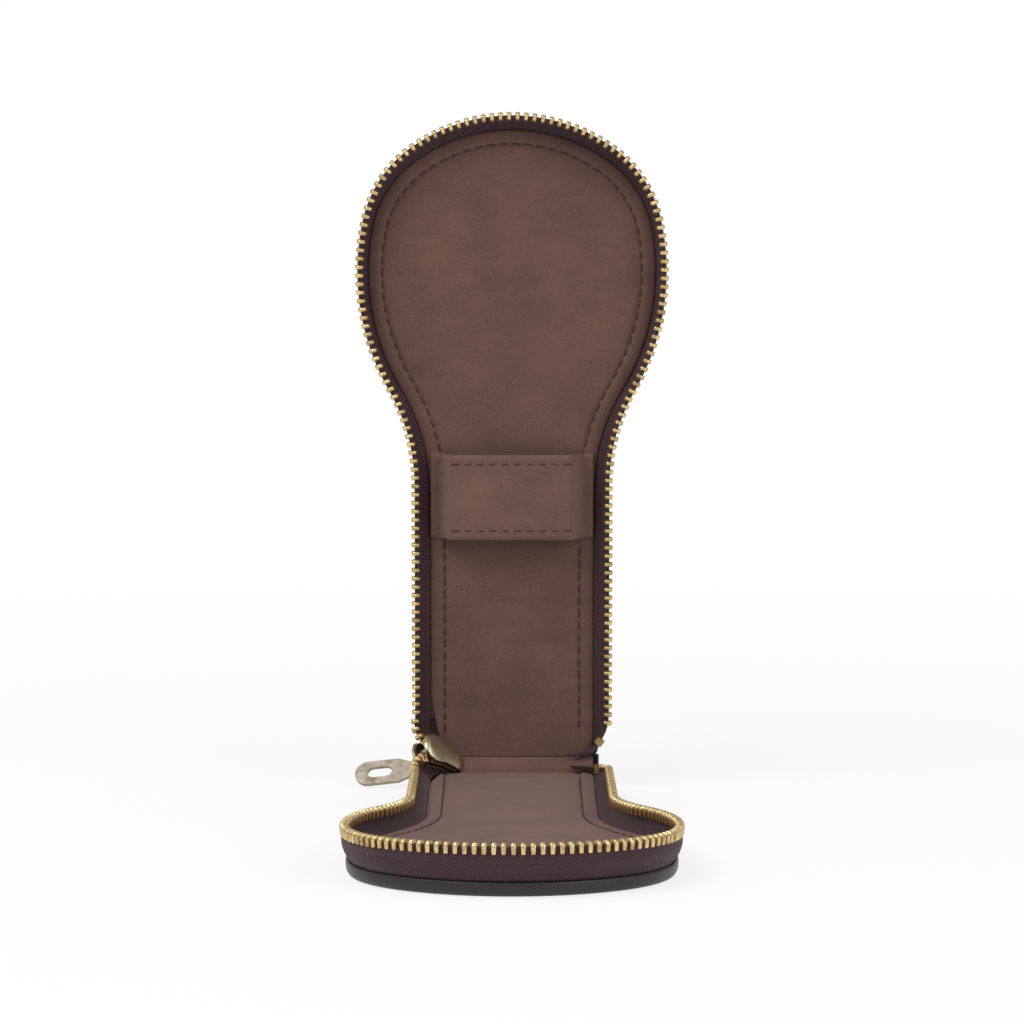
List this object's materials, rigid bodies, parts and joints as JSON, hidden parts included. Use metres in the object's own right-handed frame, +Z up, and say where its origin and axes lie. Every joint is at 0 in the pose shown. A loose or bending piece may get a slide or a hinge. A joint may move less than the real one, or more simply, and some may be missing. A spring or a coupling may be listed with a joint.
{
  "type": "watch travel case",
  "caption": "Padded keyhole-shaped zip travel case for one wristwatch, standing open at a right angle, with a suede band that holds the watch and a metal zip with a pull tab.",
  "frame": {"origin": "middle of the base shell's bottom face, on the surface it rests on", "axes": "+Z up; -Y towards the open side and the base's round end; +X to the right seen from the open side"},
  "size_m": [0.0787, 0.1698, 0.1698],
  "materials": {
    "cover_leather": "satin, fine grain",
    "board": "matte",
    "foam": "matte",
    "suede": "napped",
    "zip_tape": "herringbone weave",
    "brass": "polished",
    "aged_brass": "antiqued, worn bright on the edges",
    "thread": "satin",
    "webbing": "matte"
  },
  "bodies": {
    "base": {"base_leather": "cover_leather", "base_board": "board", "base_foam": "foam", "base_lining": "suede", "base_zip_tape": "zip_tape", "base_zip_teeth": "brass", "base_top_stop": "brass", "base_seam_stitches": "thread"},
    "spine": {"hinge_leather": "cover_leather", "hinge_lining": "suede", "hinge_webbing": "webbing", "slider_body": "aged_brass", "slider_bridge": "aged_brass", "zip_end_tape": "zip_tape", "zip_end_teeth": "brass", "bottom_stop": "brass"},
    "lid": {"lid_leather": "cover_leather", "lid_board": "board", "lid_foam": "foam", "lid_lining": "suede", "lid_zip_tape": "zip_tape", "lid_zip_teeth": "brass", "lid_top_stop": "brass", "lid_seam_stitches": "thread", "holder_backing": "suede", "holder_face": "suede", "holder_stitches": "thread"},
    "tab": {"pull_tab": "aged_brass"}
  },
  "joints": [
    {"name": "base_crease", "type": "hinge", "parent": "base", "child": "spine", "pos_m": [0, 0.08, 0.004], "axis": [1, 0, 0], "range_deg": [-45, 43], "deforming": ["hinge_leather", "hinge_lining"]},
    {"name": "lid_crease", "type": "hinge", "parent": "spine", "child": "lid", "pos_m": [0, 0.08382, 0.00782], "axis": [1, 0, 0], "range_deg": [-45, 43]},
    {"name": "pull_tab_pivot", "type": "hinge", "parent": "spine", "child": "tab", "pos_m": [-0.01885, 0.08254, 0.00528], "axis": [0, 0.7071, 0.7071], "range_deg": [-18, 48]}
  ],
  "couplings": [
    {"joint": "lid_crease", "follows": "base_crease", "ratio": 1}
  ]
}
